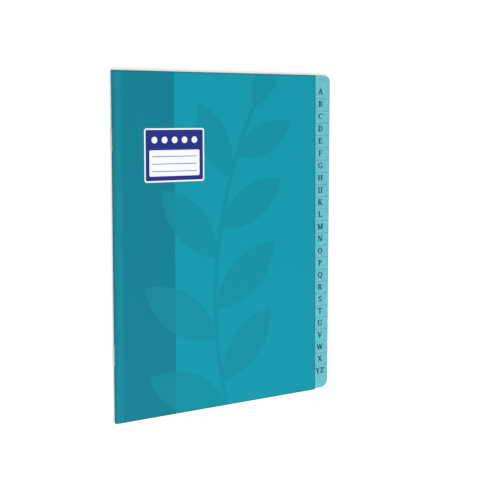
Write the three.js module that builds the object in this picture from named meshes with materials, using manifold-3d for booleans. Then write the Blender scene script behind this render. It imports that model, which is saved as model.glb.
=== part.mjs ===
// Indexed notebook, closed and lying on its back cover, in millimetres with +Z up.
// X runs from the spine to the index strip and Y from the tail to the head of the page.
// The origin is the middle of the back cover's outer face.
//
// The pages are folded sheets nested in each other and stapled through their fold to a card cover.
// Each letter of the index has its own leaves, cut back below their tab, so the strip goes down in steps.
import * as THREE from 'three';
import { mergeVertices } from 'three/addons/utils/BufferGeometryUtils.js';
import Module from 'manifold-3d';

const wasm = await Module();
wasm.setup();

// Driving dimensions of the pages and the cover
const notebookWidth = 170;
const notebookHeight = 220;
const cardThickness = 0.3;
const leafThickness = 0.09;
const leavesPerTab = 1;
const cardToPages = 0.15;
const hingeSlot = 0.3;
const hingeClearance = 0.15;

// Driving dimensions of the index strip
const tabCount = 24;
const stripWidth = 13;
const stripMargin = 7.6;
const headCornerRadius = 4.5;
const tailCornerRadius = 5.5;

// Driving dimensions of the two staples
const wireDiameter = 0.5;
const crownLength = 13;
const clinchLength = 5;
const crownSink = 0.15;
const wireClearance = 0.1;
const stapleFromEdge = 43;

// Smoothness of the round stretches
const foldSegments = 20;
const cornerSegments = 8;
const wireSides = 12;

// Places worked out from the driving dimensions
const pagesThickness = tabCount * leavesPerTab * leafThickness;
const pagesBottom = cardThickness + cardToPages;
const pagesTop = pagesBottom + pagesThickness;
const notebookThickness = pagesTop + cardToPages + cardThickness;
const middleHeight = notebookThickness / 2;
const spineRadius = notebookThickness / 2;
const spineX = -notebookWidth / 2;
const foreEdgeX = notebookWidth / 2;
const stripX = foreEdgeX - stripWidth;
const foldX = spineX + spineRadius;
const headY = notebookHeight / 2;
const tailY = -notebookHeight / 2;
const tabPitch = (notebookHeight - 2 * stripMargin) / tabCount;
const tabStep = leavesPerTab * leafThickness;

// A cover bends at the line where the spine's curve starts, in the middle of the card's thickness.
// Its panel starts where it clears that curve when it lies open, and the spine's lips reach up to it.
const curveDepth = spineRadius - cardThickness - hingeClearance;
const panelX = foldX + Math.sqrt(spineRadius ** 2 - curveDepth ** 2);
const lipX = panelX - hingeSlot;

// How far a cutting solid runs past the faces that it cuts
const overrun = 1;

// A closed three.js geometry as a solid that can be cut
function solidOf(geometry) {
  const bare = geometry.clone();
  bare.deleteAttribute('normal');
  bare.deleteAttribute('uv');
  const merged = mergeVertices(bare);
  const vertProperties = new Float32Array(merged.attributes.position.array);
  const triVerts = new Uint32Array(merged.index.array);
  return new wasm.Manifold(new wasm.Mesh({ numProp: 3, vertProperties, triVerts }));
}

// A cut solid as a three.js geometry
function geometryOf(solid) {
  const mesh = solid.getMesh();
  const geometry = new THREE.BufferGeometry();
  geometry.setAttribute('position', new THREE.BufferAttribute(mesh.vertProperties, 3));
  geometry.setIndex(new THREE.BufferAttribute(mesh.triVerts, 1));
  geometry.computeVertexNormals();
  return geometry;
}

// An outline drawn in X and Y, with its thickness along Z
function slab(outline, bottom, top) {
  const geometry = new THREE.ExtrudeGeometry(outline, {
    depth: top - bottom,
    bevelEnabled: false,
    curveSegments: cornerSegments,
  });
  return geometry.translate(0, 0, bottom);
}

// A section drawn in X and Z, running along Y from the head to the tail
function fullHeightBar(section) {
  const geometry = new THREE.ExtrudeGeometry(section, {
    depth: notebookHeight,
    bevelEnabled: false,
    curveSegments: foldSegments,
  });
  return geometry.rotateX(Math.PI / 2).translate(0, headY, 0);
}

// A section drawn in Y and Z, running along X
function crossBar(section, fromX, toX) {
  const geometry = new THREE.ExtrudeGeometry(section, { depth: toX - fromX, bevelEnabled: false });
  const turn = new THREE.Matrix4().makeBasis(
    new THREE.Vector3(0, 1, 0),
    new THREE.Vector3(0, 0, 1),
    new THREE.Vector3(1, 0, 0),
  );
  return geometry.applyMatrix4(turn).translate(fromX, 0, 0);
}

// A straight length of wire
function wireLength(from, to, radius) {
  const along = new THREE.Vector3().subVectors(to, from);
  const geometry = new THREE.CylinderGeometry(radius, radius, along.length(), wireSides);
  const turn = new THREE.Quaternion().setFromUnitVectors(
    new THREE.Vector3(0, 1, 0),
    along.clone().normalize(),
  );
  const middle = new THREE.Vector3().addVectors(from, to).multiplyScalar(0.5);
  return geometry.applyQuaternion(turn).translate(middle.x, middle.y, middle.z);
}

// A rounded bend or end of the wire
function wireBend(at, radius) {
  const geometry = new THREE.SphereGeometry(radius, wireSides, wireSides / 2);
  return geometry.translate(at.x, at.y, at.z);
}

// The staple's bends and ends: clinched at the middle fold, out through the card, and along the spine
function staplePoints(centreY) {
  const crownX = spineX + crownSink - wireDiameter / 2;
  const legY = crownLength / 2;
  const tipY = legY - clinchLength;
  const places = [
    [foldX, tipY],
    [foldX, legY],
    [crownX, legY],
    [crownX, -legY],
    [foldX, -legY],
    [foldX, -tipY],
  ];
  return places.map(([x, y]) => new THREE.Vector3(x, centreY + y, middleHeight));
}

function stapleSolid(centreY, radius) {
  const points = staplePoints(centreY);
  let solid = solidOf(wireBend(points[0], radius));
  for (let i = 1; i < points.length; i += 1) {
    solid = solid.add(solidOf(wireLength(points[i - 1], points[i], radius)));
    solid = solid.add(solidOf(wireBend(points[i], radius)));
  }
  return solid;
}

const stapleCentres = {
  upper_staple: headY - stapleFromEdge,
  lower_staple: tailY + stapleFromEdge,
};

// The holes that both staples leave in the card and in the folded sheets
function withStapleHoles(solid) {
  const holeRadius = wireDiameter / 2 + wireClearance;
  let pierced = solid;
  for (const centreY of Object.values(stapleCentres)) {
    pierced = pierced.subtract(stapleSolid(centreY, holeRadius));
  }
  return pierced;
}

// A page or card outline: square at the spine, rounded at the strip's two outer corners
function roundedOutline(fromX) {
  const outline = new THREE.Shape();
  outline.moveTo(fromX, tailY);
  outline.lineTo(foreEdgeX - tailCornerRadius, tailY);
  outline.absarc(
    foreEdgeX - tailCornerRadius,
    tailY + tailCornerRadius,
    tailCornerRadius,
    -Math.PI / 2,
    0,
    false,
  );
  outline.lineTo(foreEdgeX, headY - headCornerRadius);
  outline.absarc(
    foreEdgeX - headCornerRadius,
    headY - headCornerRadius,
    headCornerRadius,
    0,
    Math.PI / 2,
    false,
  );
  outline.lineTo(fromX, headY);
  return outline;
}

// What is cut away above the tabs: each tab lies one letter's leaves lower than the tab before it
function tabStepsCut() {
  const section = new THREE.Shape();
  const firstStepY = headY - stripMargin - tabPitch;
  section.moveTo(firstStepY, pagesTop + overrun);
  for (let tab = 1; tab < tabCount; tab += 1) {
    const upperY = firstStepY - (tab - 1) * tabPitch;
    const lowerY = tab === tabCount - 1 ? tailY - overrun : upperY - tabPitch;
    const level = pagesTop - tab * tabStep;
    section.lineTo(upperY, level);
    section.lineTo(lowerY, level);
  }
  section.lineTo(tailY - overrun, pagesTop + overrun);
  return solidOf(crossBar(section, stripX, foreEdgeX + overrun));
}

function pageBlock() {
  const foldRadius = pagesThickness / 2;
  const section = new THREE.Shape();
  section.moveTo(foreEdgeX, pagesTop);
  section.lineTo(foldX, pagesTop);
  section.absarc(foldX, middleHeight, foldRadius, Math.PI / 2, 1.5 * Math.PI, false);
  section.lineTo(foreEdgeX, pagesBottom);
  const sheets = solidOf(fullHeightBar(section));
  const trimmed = solidOf(slab(roundedOutline(spineX - overrun), pagesBottom - overrun, pagesTop + overrun));
  const stepped = sheets.intersect(trimmed).subtract(tabStepsCut());
  return geometryOf(withStapleHoles(stepped));
}

// The card's round bend over the back of the folded sheets, with a lip towards each cover
function coverSpine() {
  const section = new THREE.Shape();
  section.moveTo(lipX, notebookThickness);
  section.lineTo(foldX, notebookThickness);
  section.absarc(foldX, middleHeight, spineRadius, Math.PI / 2, 1.5 * Math.PI, false);
  section.lineTo(lipX, 0);
  section.lineTo(lipX, cardThickness);
  section.lineTo(foldX, cardThickness);
  section.absarc(foldX, middleHeight, spineRadius - cardThickness, 1.5 * Math.PI, Math.PI / 2, true);
  section.lineTo(lipX, notebookThickness - cardThickness);
  return geometryOf(withStapleHoles(solidOf(fullHeightBar(section))));
}

// The front of the card stops short of the index strip
function frontCover() {
  const outline = new THREE.Shape();
  outline.moveTo(panelX, tailY);
  outline.lineTo(stripX, tailY);
  outline.lineTo(stripX, headY);
  outline.lineTo(panelX, headY);
  return slab(outline, notebookThickness - cardThickness, notebookThickness);
}

// The back of the card reaches under the index strip
function backCover() {
  return slab(roundedOutline(panelX), 0, cardThickness);
}

const paper = new THREE.MeshStandardMaterial({ color: 0xf3f2ec, roughness: 0.85, metalness: 0 });
const printedCard = new THREE.MeshStandardMaterial({ color: 0x1a9aae, roughness: 0.35, metalness: 0 });
const steelWire = new THREE.MeshStandardMaterial({ color: 0xb9bcc0, roughness: 0.35, metalness: 1 });

function piece(name, geometry, material) {
  const mesh = new THREE.Mesh(geometry, material);
  mesh.name = name;
  return mesh;
}

const notebook = new THREE.Group();
notebook.add(piece('page_block', pageBlock(), paper));
notebook.add(piece('cover_spine', coverSpine(), printedCard));
notebook.add(piece('front_cover', frontCover(), printedCard));
notebook.add(piece('back_cover', backCover(), printedCard));
for (const [name, centreY] of Object.entries(stapleCentres)) {
  notebook.add(piece(name, geometryOf(stapleSolid(centreY, wireDiameter / 2)), steelWire));
}

export default notebook;
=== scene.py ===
"""An indexed notebook with a folded card cover, lying closed on a pale floor."""
import math
import random
import bpy
from mathutils import Matrix, Vector
from mathutils.geometry import delaunay_2d_cdt


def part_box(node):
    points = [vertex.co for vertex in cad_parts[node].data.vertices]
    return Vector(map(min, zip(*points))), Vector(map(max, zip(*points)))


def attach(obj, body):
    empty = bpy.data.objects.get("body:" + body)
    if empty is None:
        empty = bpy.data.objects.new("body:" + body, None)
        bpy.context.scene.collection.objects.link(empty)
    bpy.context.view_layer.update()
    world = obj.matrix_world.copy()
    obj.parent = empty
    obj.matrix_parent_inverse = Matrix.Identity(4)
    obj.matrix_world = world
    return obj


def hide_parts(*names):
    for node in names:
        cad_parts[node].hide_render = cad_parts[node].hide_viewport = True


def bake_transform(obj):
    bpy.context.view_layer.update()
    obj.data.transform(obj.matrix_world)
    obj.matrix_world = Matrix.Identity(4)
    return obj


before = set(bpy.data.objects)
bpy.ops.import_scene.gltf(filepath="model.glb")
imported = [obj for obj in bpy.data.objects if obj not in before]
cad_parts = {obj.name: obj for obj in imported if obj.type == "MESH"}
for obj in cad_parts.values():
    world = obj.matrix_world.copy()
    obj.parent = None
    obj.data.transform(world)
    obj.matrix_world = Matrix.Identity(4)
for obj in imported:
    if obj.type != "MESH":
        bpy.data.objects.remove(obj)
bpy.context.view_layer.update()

MM = 0.001

# Sizes and places that follow the frame
FRONT_LOW, FRONT_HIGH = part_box("front_cover")
PAGES_LOW, PAGES_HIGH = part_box("page_block")
TAIL_Y, HEAD_Y = FRONT_LOW.y, FRONT_HIGH.y
TOP_Z = FRONT_HIGH.z
CARD = FRONT_HIGH.z - FRONT_LOW.z
SPINE_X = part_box("cover_spine")[0].x
SPINE_RADIUS = TOP_Z / 2
FOLD_X = SPINE_X + SPINE_RADIUS
STRIP_X = FRONT_HIGH.x
FORE_EDGE_X = PAGES_HIGH.x
CREASE_END_X = FRONT_LOW.x
CURVE_LENGTH = SPINE_RADIUS * math.pi / 2

# The index strip
TABS = ["A", "B", "C", "D", "E", "F", "G", "H", "IJ", "K", "L", "M",
        "N", "O", "P", "Q", "R", "S", "T", "U", "V", "W", "X", "YZ"]
STRIP_MARGIN = 7.6 * MM
HEAD_CORNER = 4.5 * MM
TAIL_CORNER = 5.5 * MM
LEAF_PITCH = (PAGES_HIGH.z - PAGES_LOW.z) / len(TABS)
LEAF_THICKNESS = 0.9 * LEAF_PITCH
TAB_PITCH = (HEAD_Y - TAIL_Y - 2 * STRIP_MARGIN) / len(TABS)

# The strip's dashed lines between the tabs, and how far in from the trimmed edge its tint is darkened by
# painted shade
LINE_HALF_WIDTH = 0.19 * MM
HALF_DASH_PITCH = 0.8 * MM
HALF_DASH_GAP = 0.26 * MM
PAINTED_TRIM_SHADE_WIDTH = 0.5 * MM

# The letters: the first one's middle, how much further out the last one stands, how far they sit above the
# middle of their tabs, their spacing and size, and the thickness of printed ink
LETTER_X = STRIP_X + 4.8 * MM
LETTER_DRIFT = 1.5 * MM
LETTER_RAISE = 0.7 * MM
LETTER_PITCH = TAB_PITCH + 0.015 * MM
CAP_HEIGHT = 4.1 * MM
LETTER_STRETCH = 1.24
INK = 0.006 * MM

# The page's rules
RULE_PITCH = 8 * MM
RULE_WIDTH = 0.28 * MM
TOP_RULE = 20 * MM

# The cover's printed band and label, measured from the spine and the head. The label has a white field with
# writing lines below a row of dots.
BAND_WIDTH = 44.5 * MM
LABEL_LEFT = 21.7 * MM
LABEL_TOP = 35.8 * MM
LABEL_WIDTH = 44.2 * MM
LABEL_HEIGHT = 34.1 * MM
LABEL_CORNER = 1.6 * MM
LABEL_RIM = 1.0 * MM
LABEL_INNER_CORNER = 0.8 * MM
FIELD_MARGIN = 3.6 * MM
FIELD_RAISE = 3.8 * MM
FIELD_HEIGHT = 16.5 * MM
WRITING_LINES = 3
WRITING_LINE_MARGIN = 2 * MM
WRITING_LINE_WIDTH = 0.4 * MM
DOTS = 5
DOT_RADIUS = 2.1 * MM
DOTS_DOWN = 7.4 * MM

# The print's painted highlight beside the bend, from where it rises to where it has faded, and the width of
# its darker rim of painted shade
BEND_HIGHLIGHT_RISE = 2.6 * MM
BEND_HIGHLIGHT_FALL = 6.5 * MM
PAINTED_SHADE_RIM_WIDTH = 0.65 * MM

# How finely the curved shapes are cut up
CURVE_STEPS = 16
CREASE_STEPS = 24
PANEL_STEPS = 30
CARD_ROWS = 36
FOLD_STEPS = 12
CORNER_DEGREES = 9
WIRE_SIDES = 16

# The pages' cut edges are uneven by up to this much at head and tail
TRIM_SPREAD = 0.06 * MM
TRIM_SEED = 24

# The staples' clinched length, and the radius of the wire's bends as a multiple of the wire's own
CLINCH = 5 * MM
WIRE_BEND = 2.2

# The studio, in metres: the floor, its glow to the camera near the notebook and far from it, and the lights
FLOOR_HALF = 6.0
FLOOR_GAP = 0.02 * MM
GLOW_NEAR = 0.18
GLOW_FAR = 0.5
GLOW_EDGE = 1.2
GLOW_SOFT = 1.6
WORLD_LIGHT = 0.82
LAMP_WIDTH = 1.4
LAMP_POWER = 10.5
LAMP_PLACE = (-0.3, -0.6, 1.3)

# The camera, fitted to the photograph's edges
CAMERA_PLACE = Vector((-403.30, 79.18, 611.83)) * MM
CAMERA_TURN = math.radians(34.612)
CAMERA_DIP = math.radians(4.137)
CAMERA_ROLL = math.radians(-0.141)
FOCAL_PIXELS = 1111.2
CENTRE_ROW = 200.5
PICTURE_SIDE = 500.0
SENSOR = 36.0


def linear(r, g, b):
    """An sRGB colour, 0 to 255, as the linear colour that a shader takes."""
    out = []
    for value in (r, g, b):
        c = value / 255
        out.append(c / 12.92 if c <= 0.04045 else ((c + 0.055) / 1.055) ** 2.4)
    return (*out, 1.0)


class Graph:
    """A short way to write a material's nodes."""

    def __init__(self, name):
        self.material = bpy.data.materials.new(name)
        self.material.use_nodes = True
        self.tree = self.material.node_tree
        self.tree.nodes.clear()

    def node(self, kind, **settings):
        made = self.tree.nodes.new(kind)
        for key, value in settings.items():
            setattr(made, key, value)
        return made

    def put(self, socket, value):
        if isinstance(value, bpy.types.NodeSocket):
            self.tree.links.new(value, socket)
        else:
            socket.default_value = value

    def math(self, operation, a, b=0.0, c=0.0, clamp=False):
        made = self.node("ShaderNodeMath", operation=operation, use_clamp=clamp)
        for socket, value in zip(made.inputs, (a, b, c)):
            self.put(socket, value)
        return made.outputs[0]

    def distance(self, a, b):
        made = self.node("ShaderNodeVectorMath", operation="DISTANCE")
        self.put(made.inputs[0], a)
        self.put(made.inputs[1], b)
        return made.outputs["Value"]

    def step(self, value, edge, soft):
        """0 below edge and 1 above it, with a soft change."""
        made = self.node("ShaderNodeMapRange", interpolation_type="SMOOTHSTEP")
        self.put(made.inputs["Value"], value)
        made.inputs["From Min"].default_value = edge - soft / 2
        made.inputs["From Max"].default_value = edge + soft / 2
        return made.outputs[0]

    def below(self, value, edge, soft):
        """1 below edge and 0 above it, with a soft change."""
        return self.math("SUBTRACT", 1.0, self.step(value, edge, soft))

    def spread(self, value, low, high):
        """A 0 to 1 value as one between low and high."""
        made = self.node("ShaderNodeMapRange")
        self.put(made.inputs["Value"], value)
        made.inputs["To Min"].default_value = low
        made.inputs["To Max"].default_value = high
        return made.outputs[0]

    def mix(self, factor, a, b, blend_type="MIX"):
        made = self.node("ShaderNodeMix", data_type="RGBA", blend_type=blend_type)
        self.put(made.inputs[0], factor)
        self.put(made.inputs[6], a)
        self.put(made.inputs[7], b)
        return made.outputs[2]

    def sheet_place(self):
        """The place on the flat sheet, in metres: along it from the spine, and up from the origin."""
        made = self.node("ShaderNodeUVMap", uv_map="sheet")
        parts = self.node("ShaderNodeSeparateXYZ")
        self.put(parts.inputs[0], made.outputs[0])
        return made.outputs[0], parts.outputs[0], parts.outputs[1]

    def noise(self, place, size, detail=2.0, roughness=0.5):
        """Noise whose grains are about as large as size, in metres."""
        made = self.node("ShaderNodeTexNoise")
        self.put(made.inputs["Vector"], place)
        made.inputs["Scale"].default_value = 1 / size
        made.inputs["Detail"].default_value = detail
        made.inputs["Roughness"].default_value = roughness
        return made.outputs[0]

    def bump(self, height, distance, strength=1.0, under=None):
        made = self.node("ShaderNodeBump")
        self.put(made.inputs["Height"], height)
        made.inputs["Distance"].default_value = distance
        made.inputs["Strength"].default_value = strength
        if under is not None:
            self.put(made.inputs["Normal"], under)
        return made.outputs[0]

    def finish(self, colour, roughness, normal=None, **constants):
        shader = self.node("ShaderNodeBsdfPrincipled")
        self.put(shader.inputs["Base Color"], colour)
        self.put(shader.inputs["Roughness"], roughness)
        if normal is not None:
            self.put(shader.inputs["Normal"], normal)
        for key, value in constants.items():
            shader.inputs[key.replace("_", " ")].default_value = value
        out = self.node("ShaderNodeOutputMaterial")
        self.put(out.inputs[0], shader.outputs[0])
        return self.material


# The cover's tone-on-tone pattern: a twig of large leaves. The stem is an arc, given in mm on the flat
# sheet by its centre, its radius and where it ends in degrees. Each leaf is given by its place on the stem
# and its lean, both in degrees, and its length in mm.
STEM_CENTRE = (355.0, -40.0)
STEM_RADIUS = 280.0
STEM_HALF_WIDTH = 1.6
STEM_TIP = 27.0
LEAVES = [(-15, 50, 66), (-11, -52, 60), (-5, 50, 66), (-1, -50, 64), (6, 48, 62), (10, -48, 58),
          (17, 44, 54), (20, -44, 50), (27, 0, 44)]
LEAF_PLUMPNESS = 0.4
TWIG_SOFT = 0.5 * MM


def stem_point(degrees):
    """A point on the stem, and its direction there in degrees."""
    a = math.radians(degrees)
    x = STEM_CENTRE[0] - STEM_RADIUS * math.cos(a)
    y = STEM_CENTRE[1] + STEM_RADIUS * math.sin(a)
    return (x, y), 90.0 - degrees


def leaf_discs(place, lean, length):
    """The two discs whose overlap is one leaf: their centres, and the radius that they share."""
    (x, y), heading = stem_point(place)
    a = math.radians(heading + lean)
    half_width = LEAF_PLUMPNESS * length / 2
    radius = (length ** 2 / 4 + half_width ** 2) / (2 * half_width)
    middle_x, middle_y = x + math.cos(a) * length / 2, y + math.sin(a) * length / 2
    across_x, across_y = -math.sin(a) * (radius - half_width), math.cos(a) * (radius - half_width)
    centres = [(middle_x + side * across_x, middle_y + side * across_y) for side in (-1, 1)]
    return centres, radius


def twig(g, place, up):
    """1 on the printed twig and 0 beside it."""
    from_centre = g.distance(place, (STEM_CENTRE[0] * MM, STEM_CENTRE[1] * MM, 0.0))
    from_line = g.math("ABSOLUTE", g.math("SUBTRACT", from_centre, STEM_RADIUS * MM))
    on_stem = g.below(from_line, STEM_HALF_WIDTH * MM, TWIG_SOFT)
    tip_height = stem_point(STEM_TIP)[0][1] * MM
    shape = g.math("MULTIPLY", on_stem, g.below(up, tip_height, TWIG_SOFT))
    for leaf in LEAVES:
        centres, radius = leaf_discs(*leaf)
        outside = [g.step(g.distance(place, (x * MM, y * MM, 0.0)), radius * MM, TWIG_SOFT)
                   for x, y in centres]
        inside = g.math("SUBTRACT", 1.0, g.math("MAXIMUM", *outside))
        shape = g.math("MAXIMUM", shape, inside)
    return shape


def cover_print_and_painted_light(name, end):
    """Print on smooth card: a dark band beside the spine, a lighter field, and a large twig over both.

    The card ends at the given distance from the spine's middle. A painted highlight lies beside the bend, and
    painted shade along the edges.
    """
    g = Graph(name)
    place, across, up = g.sheet_place()
    shape = twig(g, place, up)
    field = g.mix(shape, linear(7, 153, 173), linear(3, 144, 164))
    band = g.mix(shape, linear(4, 127, 145), linear(12, 137, 155))
    colour = g.mix(g.step(across, BAND_WIDTH, 0.25 * MM), band, field)

    # A painted highlight makes the print a little lighter where the card comes out of the bend, and painted
    # shade makes it darker along its cut edges
    mottle = g.noise(place, 22 * MM, 3.0)
    highlight_rise = g.step(across, BEND_HIGHLIGHT_RISE, 1.6 * MM)
    highlight_fall = g.below(across, BEND_HIGHLIGHT_FALL, 3.5 * MM)
    # bend is the painted highlight's strength, patchy with the mottle
    bend = g.math("MULTIPLY", g.math("MULTIPLY", highlight_rise, highlight_fall), g.spread(mottle, 0.1, 0.75))
    colour = g.mix(bend, colour, linear(24, 147, 168))
    to_side = g.math("MINIMUM", across, g.math("SUBTRACT", end, across))
    to_end = g.math("SUBTRACT", HEAD_Y, g.math("ABSOLUTE", up))
    # Painted shade: the print is darkened along the card's cut edges and along the spine's middle, where the
    # card turns away
    painted_edge_shade = g.below(g.math("MINIMUM", to_side, to_end), PAINTED_SHADE_RIM_WIDTH, 0.7 * MM)
    colour = g.mix(g.math("MULTIPLY", painted_edge_shade, 0.7), colour, linear(6, 86, 98))
    colour = g.mix(g.spread(mottle, 0.0, 0.08), colour, linear(2, 120, 138))

    grain = g.noise(place, 0.25 * MM, 2.0)
    colour = g.mix(g.math("MULTIPLY", g.step(grain, 0.58, 0.16), 0.12), colour, linear(40, 170, 188))
    slow = g.noise(place, 45 * MM, 1.0)
    normal = g.bump(grain, 0.006 * MM, 0.5)
    normal = g.bump(slow, 1.2 * MM, 0.35, normal)
    return g.finish(colour, g.spread(mottle, 0.36, 0.46), normal, Specular_IOR_Level=0.12)


def card_edge():
    """The cut edge of the printed card, a dark teal-grey."""
    g = Graph("card_edge")
    place = g.sheet_place()[0]
    fibres = g.noise(place, 0.4 * MM, 3.0)
    colour = g.mix(fibres, linear(20, 92, 106), linear(38, 112, 126))
    return g.finish(colour, 0.7, g.bump(fibres, 0.02 * MM, 0.4), Specular_IOR_Level=0.2)


def card_inside():
    """The unprinted inside of the cover: smooth white board with faint fibres."""
    g = Graph("card_inside")
    place = g.sheet_place()[0]
    fibres = g.noise(place, 0.7 * MM, 4.0, 0.6)
    cloud = g.noise(place, 18 * MM, 2.0)
    colour = g.mix(fibres, linear(232, 232, 226), linear(242, 242, 238))
    colour = g.mix(g.spread(cloud, 0.0, 0.3), colour, linear(222, 223, 218))
    return g.finish(colour, g.spread(fibres, 0.62, 0.78), g.bump(fibres, 0.012 * MM, 0.5))


def page_print_and_painted_shade():
    """Ruled page paper with the index strip's tint and its fine dashed lines between the tabs, and painted
    shade along the strip's trimmed edge.
    """
    g = Graph("page_print_and_painted_shade")
    place, across, up = g.sheet_place()
    fibres = g.noise(place, 0.5 * MM, 4.0, 0.6)
    paper = g.mix(fibres, linear(238, 238, 231), linear(247, 247, 242))

    # The rules start a little below the head
    down = g.math("SUBTRACT", HEAD_Y - TOP_RULE, up)
    within = g.math("PINGPONG", down, RULE_PITCH / 2)
    on_rule = g.below(within, RULE_WIDTH / 2, 0.1 * MM)
    ruled = g.math("MULTIPLY", on_rule, g.step(down, -RULE_WIDTH, 0.05 * MM))
    paper = g.mix(g.math("MULTIPLY", ruled, 0.85), paper, linear(126, 168, 204))

    # The strip's tint, a little uneven, as printed ink on paper is
    cloud = g.noise(place, 3.2 * MM, 3.0)
    tint = g.mix(g.step(cloud, 0.5, 0.5), linear(101, 185, 202), linear(116, 196, 213))
    from_first = g.math("SUBTRACT", HEAD_Y - STRIP_MARGIN, up)
    from_line = g.math("PINGPONG", from_first, TAB_PITCH / 2)
    on_line = g.below(from_line, LINE_HALF_WIDTH, 0.1 * MM)
    dash = g.step(g.math("PINGPONG", across, HALF_DASH_PITCH), HALF_DASH_GAP, 0.1 * MM)
    below_first = g.step(from_first, TAB_PITCH / 2, 0.1 * MM)
    above_last = g.step(g.math("SUBTRACT", up, TAIL_Y + STRIP_MARGIN), TAB_PITCH / 2, 0.1 * MM)
    between_tabs = g.math("MULTIPLY", below_first, above_last)
    line = g.math("MULTIPLY", g.math("MULTIPLY", on_line, dash), between_tabs)
    tint = g.mix(g.math("MULTIPLY", line, 0.85), tint, linear(38, 124, 146))
    # Painted shade: the strip's tint is darker just inside the trimmed fore-edge
    painted_trim_shade = g.step(across, FORE_EDGE_X - SPINE_X - PAINTED_TRIM_SHADE_WIDTH, 0.7 * MM)
    tint = g.mix(g.math("MULTIPLY", painted_trim_shade, 0.6), tint, linear(70, 150, 166))
    in_strip = g.step(across, STRIP_X - SPINE_X, 0.05 * MM)
    colour = g.mix(in_strip, paper, tint)
    normal = g.bump(fibres, 0.015 * MM, 0.5)
    return g.finish(colour, g.spread(fibres, 0.6, 0.75), normal, Specular_IOR_Level=0.2)


def page_edge():
    """The cut edges of the leaves."""
    g = Graph("page_edge")
    place = g.sheet_place()[0]
    fibres = g.noise(place, 0.3 * MM, 3.0)
    long_marks = g.noise(place, 6 * MM, 2.0)
    colour = g.mix(fibres, linear(222, 221, 212), linear(244, 243, 236))
    colour = g.mix(g.spread(long_marks, 0.0, 0.2), colour, linear(205, 206, 200))
    return g.finish(colour, 0.85, g.bump(fibres, 0.02 * MM, 0.5))


def ink(name, dark, light, roughness):
    """A solid of printed ink, slightly uneven where the paper takes less of it."""
    g = Graph(name)
    coordinates = g.node("ShaderNodeTexCoord")
    patches = g.noise(coordinates.outputs["Object"], 0.6 * MM, 3.0)
    colour = g.mix(patches, dark, light)
    gloss = g.spread(patches, roughness - 0.04, roughness + 0.04)
    return g.finish(colour, gloss, Specular_IOR_Level=0.15)


def staple_wire():
    """Drawn steel wire with fine lines along it."""
    g = Graph("staple_wire")
    coordinates = g.node("ShaderNodeTexCoord")
    stretch = g.node("ShaderNodeMapping")
    g.put(stretch.inputs["Vector"], coordinates.outputs["Object"])
    stretch.inputs["Scale"].default_value = (1.0, 0.05, 1.0)
    lines = g.noise(stretch.outputs[0], 0.06 * MM, 2.0)
    colour = g.mix(lines, linear(168, 171, 176), linear(214, 216, 220))
    return g.finish(colour, g.spread(lines, 0.22, 0.38), g.bump(lines, 0.01 * MM, 0.4), Metallic=1.0)


MATERIALS = {
    "front_print_and_painted_light": cover_print_and_painted_light("front_print_and_painted_light", CURVE_LENGTH + STRIP_X - FOLD_X),
    "back_print_and_painted_light": cover_print_and_painted_light("back_print_and_painted_light", CURVE_LENGTH + FORE_EDGE_X - FOLD_X),
    "edge": card_edge(),
    "inside": card_inside(),
    "page": page_print_and_painted_shade(),
    "page_edge": page_edge(),
    "letters": ink("index_ink", linear(0, 84, 100), linear(2, 98, 114), 0.6),
    "white": ink("label_white", linear(244, 247, 250), linear(252, 253, 254), 0.4),
    "navy": ink("label_navy", linear(30, 40, 124), linear(38, 50, 138), 0.4),
    "steel": staple_wire(),
}


# Smooth shading stops at edges sharper than this
SHARP_ANGLE = math.radians(40)


class Solid:
    """Points, faces, face materials and sheet places gathered for one mesh."""

    def __init__(self, name, *materials):
        self.name = name
        self.materials = materials
        self.points = []
        self.places = []
        self.faces = []
        self.slots = []

    def point(self, xyz, place=(0.0, 0.0)):
        self.points.append(tuple(xyz))
        self.places.append(place)
        return len(self.points) - 1

    def face(self, corners, slot=0):
        self.faces.append(tuple(corners))
        self.slots.append(slot)

    def prism(self, outline, bottom, top, sides=0):
        """A flat outline, in order against the clock, with its thickness along Z."""
        lower = [self.point((x, y, bottom), (x - SPINE_X, y)) for x, y in outline]
        upper = [self.point((x, y, top), (x - SPINE_X, y)) for x, y in outline]
        self.face(upper)
        self.face(lower[::-1])
        count = len(outline)
        for i in range(count):
            j = (i + 1) % count
            self.face((lower[i], lower[j], upper[j], upper[i]), sides)

    def flat_shape(self, corners, triangles, bottom, top):
        """Flat triangles with their thickness along Z, and a wall along each edge of one triangle alone."""
        lower = [self.point((x, y, bottom)) for x, y in corners]
        upper = [self.point((x, y, top)) for x, y in corners]
        edges = {(t[i], t[(i + 1) % 3]) for t in triangles for i in range(3)}
        for a, b, c in triangles:
            self.face((upper[a], upper[b], upper[c]))
            self.face((lower[c], lower[b], lower[a]))
        for a, b in sorted(edges):
            if (b, a) not in edges:
                self.face((lower[a], lower[b], upper[b], upper[a]))

    def build(self, smooth=False):
        mesh = bpy.data.meshes.new(self.name)
        mesh.from_pydata(self.points, [], self.faces)
        for key in self.materials:
            mesh.materials.append(MATERIALS[key])
        mesh.polygons.foreach_set("material_index", self.slots)
        layer = mesh.uv_layers.new(name="sheet")
        for loop in mesh.loops:
            layer.data[loop.index].uv = self.places[loop.vertex_index]
        if smooth:
            mesh.polygons.foreach_set("use_smooth", [True] * len(mesh.polygons))
            mesh.set_sharp_from_angle(angle=SHARP_ANGLE)
        mesh.update()
        made = bpy.data.objects.new(self.name, mesh)
        bpy.context.scene.collection.objects.link(made)
        return made


def steps(start, end, count):
    """Evenly spaced values after start, up to and with end."""
    return [start + (end - start) * (i + 1) / count for i in range(count)]


def arc_points(centre, start, end, radius, pieces=6):
    """Points on a round bend in the X-Y plane, between two directions in degrees."""
    angles = [math.radians(start + (end - start) * k / pieces) for k in range(pieces + 1)]
    return [(centre[0] + radius * math.cos(a), centre[1] + radius * math.sin(a)) for a in angles]


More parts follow.
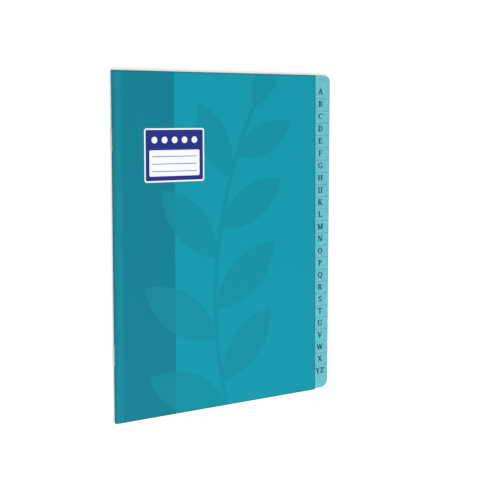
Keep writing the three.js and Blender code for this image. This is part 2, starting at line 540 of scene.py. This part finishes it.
def corner_gap(from_edge, radius):
    """How far a round corner keeps a sheet's end back, at a distance from its side edge."""
    if from_edge >= radius:
        return 0.0
    return radius - math.sqrt(max(radius ** 2 - (radius - from_edge) ** 2, 0.0))


def card_section(along, upper):
    """The outer face's point and outward direction, in X and Z, at a distance from the spine's middle."""
    if along < CURVE_LENGTH:
        angle = math.pi - along / SPINE_RADIUS
        out = (math.cos(angle), math.sin(angle))
        point = (FOLD_X + SPINE_RADIUS * out[0], SPINE_RADIUS + SPINE_RADIUS * out[1])
    else:
        out = (0.0, 1.0)
        point = (FOLD_X + along - CURVE_LENGTH, TOP_Z)
    if upper:
        return point, out
    return (point[0], TOP_Z - point[1]), (out[0], -out[1])


# The card's finely cut stretch runs on past the crease by this much
CREASE_SPARE = 0.3 * MM


def card(name, end_x, upper, head_corner=0.0, tail_corner=0.0):
    """Half of the cover: round the spine from its middle, over the crease and flat to the fore-edge."""
    made = Solid(name, "front_print_and_painted_light" if upper else "back_print_and_painted_light", "inside", "edge")
    crease = CURVE_LENGTH + CREASE_END_X - FOLD_X
    end = CURVE_LENGTH + end_x - FOLD_X
    largest = max(head_corner, tail_corner)
    columns = [0.0] + steps(0.0, CURVE_LENGTH, CURVE_STEPS)
    columns += steps(CURVE_LENGTH, crease + CREASE_SPARE, CREASE_STEPS)
    columns += steps(columns[-1], end - largest, PANEL_STEPS)
    if largest:
        corner_steps = range(CORNER_DEGREES, 91, CORNER_DEGREES)
        columns += [end - largest + largest * math.sin(math.radians(k)) for k in corner_steps]
    rows = CARD_ROWS
    outer, inner = [], []
    for along in columns:
        (x, z), (out_x, out_z) = card_section(along, upper)
        head = HEAD_Y - corner_gap(end - along, head_corner)
        tail = TAIL_Y + corner_gap(end - along, tail_corner)
        heights = [tail + (head - tail) * k / rows for k in range(rows + 1)]
        flat = [(along, y) for y in heights]
        outer.append([made.point((x, y, z), f) for y, f in zip(heights, flat)])
        deep = (x - CARD * out_x, z - CARD * out_z)
        inner.append([made.point((deep[0], y, deep[1]), f) for y, f in zip(heights, flat)])

    def quad(a, b, c, d, slot):
        made.face((a, b, c, d) if upper else (d, c, b, a), slot)

    last = len(columns) - 1
    for i in range(last):
        for k in range(rows):
            quad(outer[i][k], outer[i + 1][k], outer[i + 1][k + 1], outer[i][k + 1], 0)
            quad(inner[i][k + 1], inner[i + 1][k + 1], inner[i + 1][k], inner[i][k], 1)
        quad(inner[i][0], inner[i + 1][0], outer[i + 1][0], outer[i][0], 2)
        quad(outer[i][rows], outer[i + 1][rows], inner[i + 1][rows], inner[i][rows], 2)
    for k in range(rows):
        quad(outer[last][k], inner[last][k], inner[last][k + 1], outer[last][k + 1], 2)
        quad(inner[0][k], outer[0][k], outer[0][k + 1], inner[0][k + 1], 2)
    return made.build(smooth=True)


def tab_outline(index):
    """The part of a leaf that lies in the index strip: cut back below its own tab."""
    last = index == len(TABS) - 1
    low = TAIL_Y if last else HEAD_Y - STRIP_MARGIN - (index + 1) * TAB_PITCH
    outline = [(STRIP_X, low)]
    corner_pieces = 90 // CORNER_DEGREES
    if last:
        centre = (FORE_EDGE_X - TAIL_CORNER, TAIL_Y + TAIL_CORNER)
        outline += arc_points(centre, -90, 0, TAIL_CORNER, corner_pieces)
    else:
        outline.append((FORE_EDGE_X, low))
    centre = (FORE_EDGE_X - HEAD_CORNER, HEAD_Y - HEAD_CORNER)
    outline += arc_points(centre, 0, 90, HEAD_CORNER, corner_pieces)
    outline.append((STRIP_X, HEAD_Y))
    return outline


def leaf_top(index):
    """The height of a leaf's upper face, counted from the first leaf."""
    return PAGES_HIGH.z - index * LEAF_PITCH


def pages():
    """Twelve sheets folded round each other. Each leaf has its own length of the index strip."""
    made = Solid("page_leaves", "page", "page_edge")
    dice = random.Random(TRIM_SEED)
    sheets = len(TABS) // 2
    middle = (PAGES_LOW.z + PAGES_HIGH.z) / 2
    for k in range(sheets):
        outer_radius = (PAGES_HIGH.z - PAGES_LOW.z) / 2 - k * LEAF_PITCH
        inner_radius = outer_radius - LEAF_THICKNESS
        trim = [dice.uniform(0.0, TRIM_SPREAD) for _ in range(2)]
        tail, head = TAIL_Y + trim[0], HEAD_Y - trim[1]
        corners = ((outer_radius, tail), (outer_radius, head), (inner_radius, head), (inner_radius, tail))
        path = [(STRIP_X, 0.0, 1.0)]
        for s in range(FOLD_STEPS + 1):
            a = math.pi / 2 + math.pi * s / FOLD_STEPS
            path.append((FOLD_X, math.cos(a), math.sin(a)))
        path.append((STRIP_X, 0.0, -1.0))
        rings = []
        for x, out_x, out_z in path:
            places = [(x + radius * out_x, y, middle + radius * out_z) for radius, y in corners]
            rings.append([made.point(place, (place[0] - SPINE_X, place[1])) for place in places])
        for near, far in zip(rings, rings[1:]):
            made.face((near[1], far[1], far[0], near[0]), 0)
            made.face((near[2], far[2], far[1], near[1]), 1)
            made.face((near[3], far[3], far[2], near[2]), 0)
            made.face((near[0], far[0], far[3], near[3]), 1)
        made.face(rings[0], 1)
        made.face(rings[-1][::-1], 1)
    for index in range(len(TABS)):
        top = leaf_top(index)
        bottom = top - LEAF_THICKNESS
        if index >= sheets:
            bottom = PAGES_LOW.z + (len(TABS) - 1 - index) * LEAF_PITCH
            top = bottom + LEAF_THICKNESS
        made.prism(tab_outline(index), bottom, top, sides=1)
    return made.build()


# The letters' strokes, in a box one unit high. Thick strokes are stems, thin ones are bars and hairlines.
THICK, THIN = 0.22, 0.13


def stem(x, low=0.0, high=1.0, width=THICK, feet=(True, True)):
    """An upright stroke, with a serif at its lower and upper end."""
    strokes = [((x, low), (x, high), width)]
    for foot, y in zip(feet, (low + THIN / 2, high - THIN / 2)):
        if foot:
            strokes.append(serif(x, y))
    return strokes


def serif(x, y, half=0.16):
    return ((x - half, y), (x + half, y), THIN)


def bar(x0, x1, y, width=THIN):
    return ((x0, y), (x1, y), width)


def tick(x, y0, y1):
    """A short thin stroke up from a bar's end or down from it."""
    return ((x, y0), (x, y1), THIN)


def bow(centre, radii, start, end, pieces=16):
    """A curved stroke's outline, thick at its sides and thin at its top and bottom."""
    outer, inner = [], []
    for i in range(pieces + 1):
        t = math.radians(start + (end - start) * i / pieces)
        middle = Vector((centre[0] + radii[0] * math.cos(t), centre[1] + radii[1] * math.sin(t)))
        out = Vector((math.cos(t) / radii[0], math.sin(t) / radii[1])).normalized()
        half = (THIN + (THICK - THIN) * math.cos(t) ** 2) / 2
        outer.append(middle + out * half)
        inner.append(middle - out * half)
    return [outer + inner[::-1]]


def ring(centre, radii):
    return bow(centre, radii, 0, 180) + bow(centre, radii, 180, 360)


# Each letter's advance and strokes
LOW, HIGH = THIN / 2, 1 - THIN / 2
GLYPHS = {
    "A": (0.76, [((0.10, 0.0), (0.38, 1.0), THIN), ((0.38, 1.0), (0.68, 0.0), THICK),
                 bar(0.2, 0.55, 0.34), serif(0.1, LOW, 0.12), serif(0.68, LOW, 0.14)]),
    "B": (0.66, stem(0.16) + bow((0.3, 0.73), (0.2, 0.205), -90, 90)
          + bow((0.3, 0.29), (0.24, 0.225), -90, 90)
          + [bar(0.16, 0.3, HIGH), bar(0.16, 0.3, 0.52), bar(0.16, 0.3, LOW)]),
    "C": (0.72, bow((0.42, 0.5), (0.32, 0.44), 48, 312, 24) + [tick(0.66, 0.66, 0.98)]),
    "D": (0.76, stem(0.16) + bow((0.3, 0.5), (0.34, 0.435), -90, 90, 20)
          + [bar(0.16, 0.3, HIGH), bar(0.16, 0.3, LOW)]),
    "E": (0.64, stem(0.16) + [bar(0.16, 0.56, HIGH), bar(0.16, 0.44, 0.52), bar(0.16, 0.6, LOW),
                              tick(0.56, 0.78, 1.0), tick(0.44, 0.42, 0.62), tick(0.6, 0.0, 0.24)]),
    "F": (0.60, stem(0.16) + [bar(0.16, 0.56, HIGH), bar(0.16, 0.44, 0.5),
                              tick(0.56, 0.76, 1.0), tick(0.44, 0.4, 0.6)]),
    "G": (0.78, bow((0.42, 0.5), (0.32, 0.44), 48, 310, 24) + stem(0.64, 0.05, 0.44, THICK, (False, True))
          + [tick(0.66, 0.66, 0.98)]),
    "H": (0.82, stem(0.17) + stem(0.65) + [bar(0.17, 0.65, 0.5)]),
    "I": (0.36, stem(0.18)),
    "J": (0.46, stem(0.28, 0.12, 1.0, THICK, (False, True)) + bow((0.13, 0.13), (0.15, 0.1), -130, 0, 10)),
    "K": (0.78, stem(0.16) + [((0.2, 0.4), (0.62, 0.97), THIN), ((0.32, 0.56), (0.68, 0.03), THICK),
                              serif(0.62, HIGH, 0.12), serif(0.69, LOW, 0.12)]),
    "L": (0.62, stem(0.16) + [bar(0.16, 0.58, LOW), tick(0.58, 0.0, 0.26)]),
    "M": (0.94, stem(0.15, width=THIN) + stem(0.8) + [((0.17, 0.98), (0.46, 0.06), THICK),
                                                      ((0.46, 0.04), (0.76, 0.98), THIN)]),
    "N": (0.84, stem(0.15, width=THIN) + stem(0.68, width=THIN, feet=(False, True))
          + [((0.16, 0.97), (0.66, 0.04), THICK)]),
    "O": (0.78, ring((0.39, 0.5), (0.31, 0.44))),
    "P": (0.64, stem(0.16) + bow((0.3, 0.71), (0.23, 0.225), -90, 90)
          + [bar(0.16, 0.3, HIGH), bar(0.16, 0.3, 0.485)]),
    "Q": (0.78, ring((0.39, 0.5), (0.31, 0.44)) + [((0.4, 0.06), (0.7, -0.16), THICK * 0.8)]),
    "R": (0.76, stem(0.16) + bow((0.3, 0.73), (0.22, 0.205), -90, 90)
          + [bar(0.16, 0.3, HIGH), bar(0.16, 0.34, 0.52),
             ((0.36, 0.5), (0.66, 0.03), THICK), serif(0.68, LOW, 0.1)]),
    "S": (0.58, bow((0.3, 0.72), (0.19, 0.215), 35, 270, 20) + bow((0.3, 0.28), (0.2, 0.215), 90, -145, 20)
          + [tick(0.47, 0.72, 0.98), tick(0.1, 0.02, 0.28)]),
    "T": (0.74, stem(0.37, feet=(True, False))
          + [bar(0.06, 0.68, HIGH), tick(0.07, 0.76, 1.0), tick(0.67, 0.76, 1.0)]),
    "U": (0.82, stem(0.17, 0.32, feet=(False, True)) + stem(0.66, 0.32, width=THIN, feet=(False, True))
          + bow((0.415, 0.32), (0.245, 0.255), 180, 360, 20)),
    "V": (0.76, [((0.1, 0.98), (0.38, 0.02), THICK), ((0.38, 0.02), (0.66, 0.98), THIN),
                 serif(0.1, HIGH, 0.13), serif(0.66, HIGH, 0.11)]),
    "W": (1.06, [((0.1, 0.98), (0.32, 0.02), THICK), ((0.32, 0.02), (0.54, 0.98), THIN),
                 ((0.5, 0.98), (0.74, 0.02), THICK), ((0.74, 0.02), (0.96, 0.98), THIN),
                 serif(0.1, HIGH, 0.12), serif(0.52, HIGH, 0.12), serif(0.96, HIGH, 0.1)]),
    "X": (0.78, [((0.12, 0.97), (0.66, 0.03), THICK), ((0.64, 0.97), (0.12, 0.03), THIN),
                 serif(0.12, HIGH, 0.12), serif(0.64, HIGH, 0.12),
                 serif(0.12, LOW, 0.12), serif(0.67, LOW, 0.12)]),
    "Y": (0.76, [((0.1, 0.97), (0.38, 0.46), THICK), ((0.38, 0.46), (0.65, 0.97), THIN),
                 serif(0.1, HIGH, 0.12), serif(0.65, HIGH, 0.11)]
          + stem(0.38, 0.0, 0.5, THICK, (True, False))),
    "Z": (0.68, [bar(0.08, 0.62, HIGH), bar(0.06, 0.62, LOW), ((0.58, 0.96), (0.1, 0.04), THICK),
                 tick(0.09, 0.76, 1.0), tick(0.61, 0.0, 0.24)]),
}


def stroke_outline(start, end, width):
    """A straight stroke's four corners."""
    a, b = Vector(start), Vector(end)
    along = (b - a).normalized()
    side = Vector((-along.y, along.x)) * width / 2
    return [a - side, b - side, b + side, a + side]


# Settings of the triangulation: keep triangles inside the outlines only, and weld points this close
INSIDE_TRIANGLES = 1
WELD = 1e-5


def merged(strokes):
    """Overlapping strokes as one flat shape: its corners and its triangles, in order against the clock.

    A stroke is an outline, or a start, an end and a width.
    """
    corners, outlines = [], []
    for stroke in strokes:
        outline = stroke if isinstance(stroke, list) else stroke_outline(*stroke)
        area = sum(a.x * b.y - b.x * a.y for a, b in zip(outline, outline[1:] + outline[:1]))
        ordered = outline if area > 0 else outline[::-1]
        outlines.append(list(range(len(corners), len(corners) + len(ordered))))
        corners += ordered
    points, _, faces, _, _, owners = delaunay_2d_cdt(corners, [], outlines, INSIDE_TRIANGLES, WELD)
    triangles = [tuple(face) for face, strokes_under in zip(faces, owners) if strokes_under]
    return points, triangles


def index_letters():
    """Each tab's letters, printed in the middle of the tab."""
    made = Solid("index_letters", "letters")
    em_width = CAP_HEIGHT * LETTER_STRETCH
    for index, word in enumerate(TABS):
        centre_y = HEAD_Y - STRIP_MARGIN + LETTER_RAISE - TAB_PITCH / 2 - index * LETTER_PITCH
        width = sum(GLYPHS[letter][0] for letter in word) * em_width
        left = LETTER_X + LETTER_DRIFT * index / (len(TABS) - 1) - width / 2
        for letter in word:
            advance, strokes = GLYPHS[letter]
            corners, triangles = merged(strokes)
            placed = [(left + p.x * em_width, centre_y + (p.y - 0.5) * CAP_HEIGHT) for p in corners]
            made.flat_shape(placed, triangles, leaf_top(index), leaf_top(index) + INK)
            left += advance * em_width
    return made.build()


def rounded(left, bottom, width, height, radius):
    """A rectangle with round corners, in order against the clock."""
    outline = []
    right, top = left + width, bottom + height
    corners = [(right - radius, bottom + radius, -90), (right - radius, top - radius, 0),
               (left + radius, top - radius, 90), (left + radius, bottom + radius, 180)]
    for x, y, start in corners:
        outline += arc_points((x, y), start, start + 90, radius, 8)
    return outline


def label():
    """A plain name label: navy with a white rim, a row of white dots and a white field with writing lines."""
    left = SPINE_X + LABEL_LEFT
    bottom = HEAD_Y - LABEL_TOP - LABEL_HEIGHT
    white = Solid("label_white_print", "white")
    navy = Solid("label_navy_print", "navy")
    layers = [TOP_Z + k * INK for k in range(5)]
    white.prism(rounded(left, bottom, LABEL_WIDTH, LABEL_HEIGHT, LABEL_CORNER), layers[0], layers[1])
    inner_width, inner_height = LABEL_WIDTH - 2 * LABEL_RIM, LABEL_HEIGHT - 2 * LABEL_RIM
    navy.prism(rounded(left + LABEL_RIM, bottom + LABEL_RIM, inner_width, inner_height, LABEL_INNER_CORNER),
               layers[1], layers[2])
    field_left, field_bottom = left + FIELD_MARGIN, bottom + FIELD_RAISE
    field_width = LABEL_WIDTH - 2 * FIELD_MARGIN
    white.prism(rounded(field_left, field_bottom, field_width, FIELD_HEIGHT, LABEL_INNER_CORNER),
                layers[2], layers[3])
    line_left, line_width = field_left + WRITING_LINE_MARGIN, field_width - 2 * WRITING_LINE_MARGIN
    line_gap = FIELD_HEIGHT / (WRITING_LINES + 0.5)
    for k in range(WRITING_LINES):
        y = field_bottom + (k + 0.6) * line_gap
        navy.prism(rounded(line_left, y, line_width, WRITING_LINE_WIDTH, 0.15 * MM), layers[3], layers[4])
    for k in range(DOTS):
        x = left + LABEL_WIDTH * (k + 1) / (DOTS + 1) - DOT_RADIUS
        y = bottom + LABEL_HEIGHT - DOTS_DOWN - DOT_RADIUS
        white.prism(rounded(x, y, 2 * DOT_RADIUS, 2 * DOT_RADIUS, DOT_RADIUS * 0.999), layers[2], layers[3])
    return white.build(), navy.build()


def staple(node):
    """Bent wire: clinched tips at the middle fold, legs through the fold, and the crown on the spine."""
    low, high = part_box(node)
    wire = (high.z - low.z) / 2
    bend = WIRE_BEND * wire
    outer_x, inner_x = low.x + wire, high.x - wire
    head, tail = high.y - wire, low.y + wire
    path = [(inner_x, head - CLINCH)]
    path += arc_points((inner_x - bend, head - bend), 0, 90, bend)
    path += arc_points((outer_x + bend, head - bend), 90, 180, bend)
    path += arc_points((outer_x + bend, tail + bend), 180, 270, bend)
    path += arc_points((inner_x - bend, tail + bend), 270, 360, bend)
    path += [(inner_x, tail + CLINCH)]
    made = Solid(node + "_wire", "steel")
    middle_z = (low.z + high.z) / 2
    rings = []
    for i, (x, y) in enumerate(path):
        before, after = path[max(i - 1, 0)], path[min(i + 1, len(path) - 1)]
        along = Vector((after[0] - before[0], after[1] - before[1])).normalized()
        around = []
        for k in range(WIRE_SIDES):
            a = 2 * math.pi * k / WIRE_SIDES
            out = wire * math.cos(a)
            around.append(made.point((x + along.y * out, y - along.x * out, middle_z + wire * math.sin(a))))
        rings.append(around)
    for near, far in zip(rings, rings[1:]):
        for k in range(WIRE_SIDES):
            j = (k + 1) % WIRE_SIDES
            made.face((near[k], near[j], far[j], far[k]))
    made.face(rings[0][::-1])
    made.face(rings[-1])
    return made.build(smooth=True)


# The cover: two halves of one folded card, meeting in the middle of the spine
front_card = card("front_card", STRIP_X, upper=True)
back_card = card("back_card", FORE_EDGE_X, upper=False, head_corner=HEAD_CORNER, tail_corner=TAIL_CORNER)
for half, body, hinge_z in ((front_card, "front", TOP_Z - CARD / 2), (back_card, "back", CARD / 2)):
    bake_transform(half)
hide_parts("front_cover", "cover_spine")
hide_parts("back_cover", "cover_spine")

for piece in label():
    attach(piece, "front")

leaves = pages()
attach(leaves, "pages")
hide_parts("page_block")

letters = index_letters()
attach(letters, "pages")

for node in ("upper_staple", "lower_staple"):
    wire_piece = staple(node)
    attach(wire_piece, "pages")
    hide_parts(node)


def studio():
    """A pale floor, a soft overhead light and an even surround that looks white to the camera."""
    g = Graph("studio_floor")
    coordinates = g.node("ShaderNodeTexCoord")
    cloud = g.noise(coordinates.outputs["Object"], 0.4, 2.0)
    colour = g.mix(cloud, linear(244, 244, 244), linear(248, 248, 248))
    diffuse = g.node("ShaderNodeBsdfDiffuse")
    g.put(diffuse.inputs["Color"], colour)
    rays = g.node("ShaderNodeLightPath")
    seen = g.math("MAXIMUM", rays.outputs["Is Camera Ray"], rays.outputs["Is Glossy Ray"])
    seen = g.math("MAXIMUM", seen, rays.outputs["Is Transmission Ray"])
    far = g.step(g.distance(coordinates.outputs["Object"], (0.0, 0.0, 0.0)), GLOW_EDGE, GLOW_SOFT)
    glow = g.node("ShaderNodeEmission")
    g.put(glow.inputs["Strength"], g.math("MULTIPLY", seen, g.spread(far, GLOW_NEAR, GLOW_FAR)))
    both = g.node("ShaderNodeAddShader")
    g.put(both.inputs[0], diffuse.outputs[0])
    g.put(both.inputs[1], glow.outputs[0])
    out = g.node("ShaderNodeOutputMaterial")
    g.put(out.inputs[0], both.outputs[0])

    corners = ((-1, -1), (1, -1), (1, 1), (-1, 1))
    mesh = bpy.data.meshes.new("studio_floor")
    mesh.from_pydata([(x * FLOOR_HALF, y * FLOOR_HALF, -FLOOR_GAP) for x, y in corners],
                     [], [(0, 1, 2, 3)])
    mesh.materials.append(g.material)
    floor = bpy.data.objects.new("studio_floor", mesh)
    bpy.context.scene.collection.objects.link(floor)

    world = bpy.data.worlds.new("studio_world")
    world.use_nodes = True
    tree = world.node_tree
    tree.nodes.clear()
    paths = tree.nodes.new("ShaderNodeLightPath")
    bright = paths.outputs["Is Camera Ray"]
    for other in ("Is Glossy Ray", "Is Transmission Ray"):
        larger = tree.nodes.new("ShaderNodeMath")
        larger.operation = "MAXIMUM"
        tree.links.new(bright, larger.inputs[0])
        tree.links.new(paths.outputs[other], larger.inputs[1])
        bright = larger.outputs[0]
    strength = tree.nodes.new("ShaderNodeMapRange")
    tree.links.new(bright, strength.inputs["Value"])
    strength.inputs["To Min"].default_value = WORLD_LIGHT
    strength.inputs["To Max"].default_value = 1.0
    background = tree.nodes.new("ShaderNodeBackground")
    tree.links.new(strength.outputs[0], background.inputs["Strength"])
    output = tree.nodes.new("ShaderNodeOutputWorld")
    tree.links.new(background.outputs[0], output.inputs[0])
    bpy.context.scene.world = world

    lamp = bpy.data.lights.new("soft_lamp", "AREA")
    lamp.shape = "DISK"
    lamp.size = LAMP_WIDTH
    lamp.energy = LAMP_POWER
    lamp_object = bpy.data.objects.new("soft_lamp", lamp)
    bpy.context.scene.collection.objects.link(lamp_object)
    lamp_object.location = LAMP_PLACE
    lamp_object.rotation_euler = (-lamp_object.location).to_track_quat("-Z", "Y").to_euler()


def camera():
    """The camera, with the photograph's angle, lens and framing."""
    forward = Vector((math.sin(CAMERA_TURN) * math.cos(CAMERA_DIP), -math.sin(CAMERA_DIP),
                      -math.cos(CAMERA_TURN) * math.cos(CAMERA_DIP)))
    right = forward.cross(Vector((0, 1, 0))).normalized()
    up = right.cross(forward)
    right, up = (right * math.cos(CAMERA_ROLL) + up * math.sin(CAMERA_ROLL),
                 up * math.cos(CAMERA_ROLL) - right * math.sin(CAMERA_ROLL))
    data = bpy.data.cameras.new("camera")
    data.sensor_width = SENSOR
    data.lens = FOCAL_PIXELS / PICTURE_SIDE * SENSOR
    data.shift_y = (CENTRE_ROW - PICTURE_SIDE / 2) / PICTURE_SIDE
    data.clip_start = 0.01
    made = bpy.data.objects.new("camera", data)
    bpy.context.scene.collection.objects.link(made)
    made.matrix_world = Matrix((
        (right.x, up.x, -forward.x, CAMERA_PLACE.x),
        (right.y, up.y, -forward.y, CAMERA_PLACE.y),
        (right.z, up.z, -forward.z, CAMERA_PLACE.z),
        (0, 0, 0, 1),
    ))
    bpy.context.scene.camera = made


studio()
camera()
bpy.context.scene.view_settings.view_transform = "Standard"
